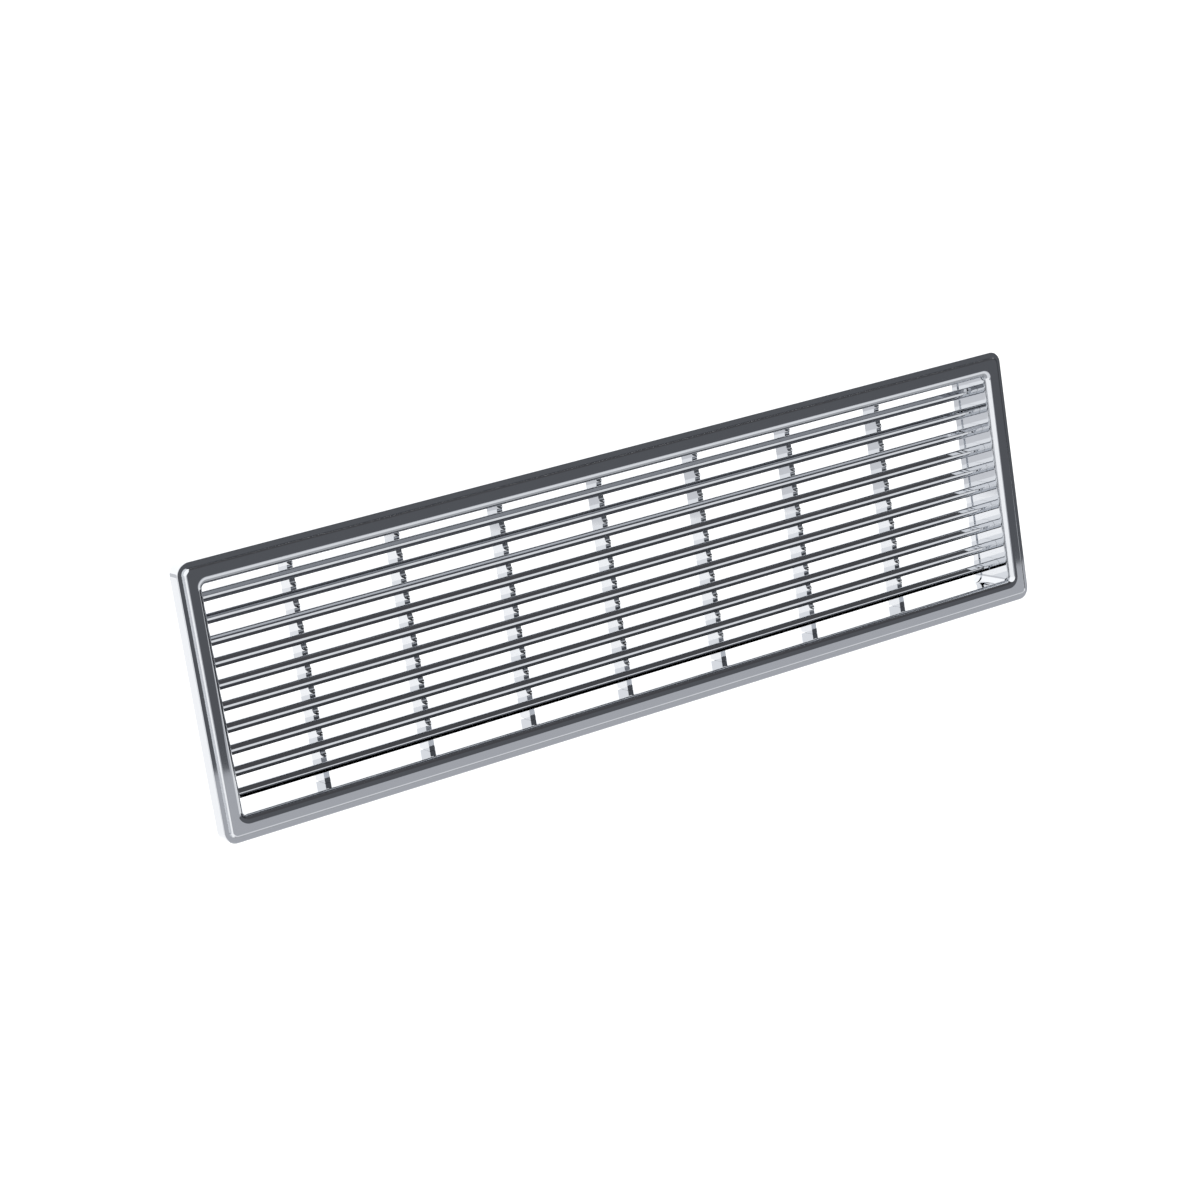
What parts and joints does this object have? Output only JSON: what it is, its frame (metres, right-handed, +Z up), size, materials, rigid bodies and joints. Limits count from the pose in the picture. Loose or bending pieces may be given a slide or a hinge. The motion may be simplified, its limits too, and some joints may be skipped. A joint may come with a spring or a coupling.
{
  "type": "front grille",
  "caption": "Wide rectangular vehicle front grille: bright stepped surround, deep housing behind it, slim V-nosed horizontal bars on upright ribs, rear mounting studs.",
  "frame": {"origin": "centre of the four-stud pattern, on the plane where the surround's rear edge meets the panel", "axes": "+X to the right along the bars seen from the front, +Y rearwards out of the back of the grille, +Z up"},
  "size_m": [0.607, 0.0455, 0.1704],
  "materials": {
    "surround_chrome": "bright chrome plate on a moulded plastic surround",
    "housing_chrome": "bright chrome plate on a thin moulded plastic housing",
    "bar_chrome": "bright chrome plate on moulded plastic bars",
    "rib_chrome": "bright chrome plate on moulded plastic ribs",
    "spring_steel": "dark phosphated spring steel",
    "stud_steel": "zinc-plated steel"
  },
  "bodies": {
    "root": {"front_bezel": "surround_chrome", "grille_housing": "housing_chrome", "bar_01": "bar_chrome", "bar_02": "bar_chrome", "bar_03": "bar_chrome", "bar_04": "bar_chrome", "bar_05": "bar_chrome", "bar_06": "bar_chrome", "bar_07": "bar_chrome", "bar_08": "bar_chrome", "bar_09": "bar_chrome", "bar_10": "bar_chrome", "rib_1": "rib_chrome", "rib_2": "rib_chrome", "rib_3": "rib_chrome", "rib_4": "rib_chrome", "rib_5": "rib_chrome", "rib_6": "rib_chrome", "rib_7": "rib_chrome", "push_nuts": "spring_steel", "mounting_studs": "stud_steel"}
  },
  "joints": []
}
